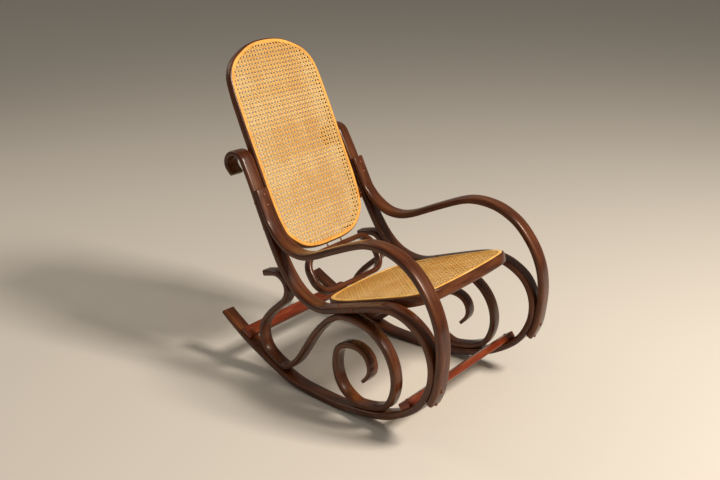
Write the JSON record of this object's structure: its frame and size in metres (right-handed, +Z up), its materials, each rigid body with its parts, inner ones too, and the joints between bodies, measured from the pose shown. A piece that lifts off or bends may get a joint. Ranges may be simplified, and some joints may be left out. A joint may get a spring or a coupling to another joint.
{
  "type": "rocking chair",
  "caption": "Bentwood rocking chair with scrolled sides, continuous rockers and arms, caned back panel and caned seat; rolls on the floor on its two curved runners.",
  "frame": {"origin": "on the floor under the middle of the bounding box", "axes": "front of the chair faces -Y, the sitter's left is +X, +Z up"},
  "size_m": [0.5712, 0.8966, 0.9855],
  "materials": {
    "bentwood": "dark reddish brown stain, glossy varnish",
    "cane": "golden rattan cane, satin",
    "cane_binding": "orange tan cane strip, satin",
    "screw_steel": "darkened steel"
  },
  "bodies": {
    "root": {"arm_left": "bentwood", "arm_right": "bentwood", "arm_screw_loop_1_left": "screw_steel", "arm_screw_loop_1_right": "screw_steel", "arm_screw_loop_2_left": "screw_steel", "arm_screw_loop_2_right": "screw_steel", "arm_screw_post_1_left": "screw_steel", "arm_screw_post_1_right": "screw_steel", "arm_screw_post_2_left": "screw_steel", "arm_screw_post_2_right": "screw_steel", "back_binding": "cane_binding", "back_cane": "cane", "back_hoop": "bentwood", "front_stretcher": "bentwood", "front_stretcher_screw_left": "screw_steel", "front_stretcher_screw_right": "screw_steel", "hoop_block_left_1": "bentwood", "hoop_block_left_2": "bentwood", "hoop_block_right_1": "bentwood", "hoop_block_right_2": "bentwood", "hoop_bolt_1_left": "screw_steel", "hoop_bolt_1_right": "screw_steel", "hoop_bolt_2_left": "screw_steel", "hoop_bolt_2_right": "screw_steel", "lower_back_ring": "bentwood", "rear_stretcher": "bentwood", "rear_stretcher_screw_left": "screw_steel", "rear_stretcher_screw_right": "screw_steel", "ring_hoop_screw_left": "screw_steel", "ring_hoop_screw_right": "screw_steel", "ring_seat_screw_left": "screw_steel", "ring_seat_screw_right": "screw_steel", "scroll_left": "bentwood", "scroll_right": "bentwood", "scroll_screw_front_left": "screw_steel", "scroll_screw_front_right": "screw_steel", "scroll_screw_rail_left": "screw_steel", "scroll_screw_rail_right": "screw_steel", "scroll_screw_rear_left": "screw_steel", "scroll_screw_rear_right": "screw_steel", "seat_binding": "cane_binding", "seat_bolt_1_left": "screw_steel", "seat_bolt_1_right": "screw_steel", "seat_bolt_2_left": "screw_steel", "seat_bolt_2_right": "screw_steel", "seat_cane": "cane", "seat_frame": "bentwood", "side_frame_left": "bentwood", "side_frame_right": "bentwood"}
  },
  "joints": []
}
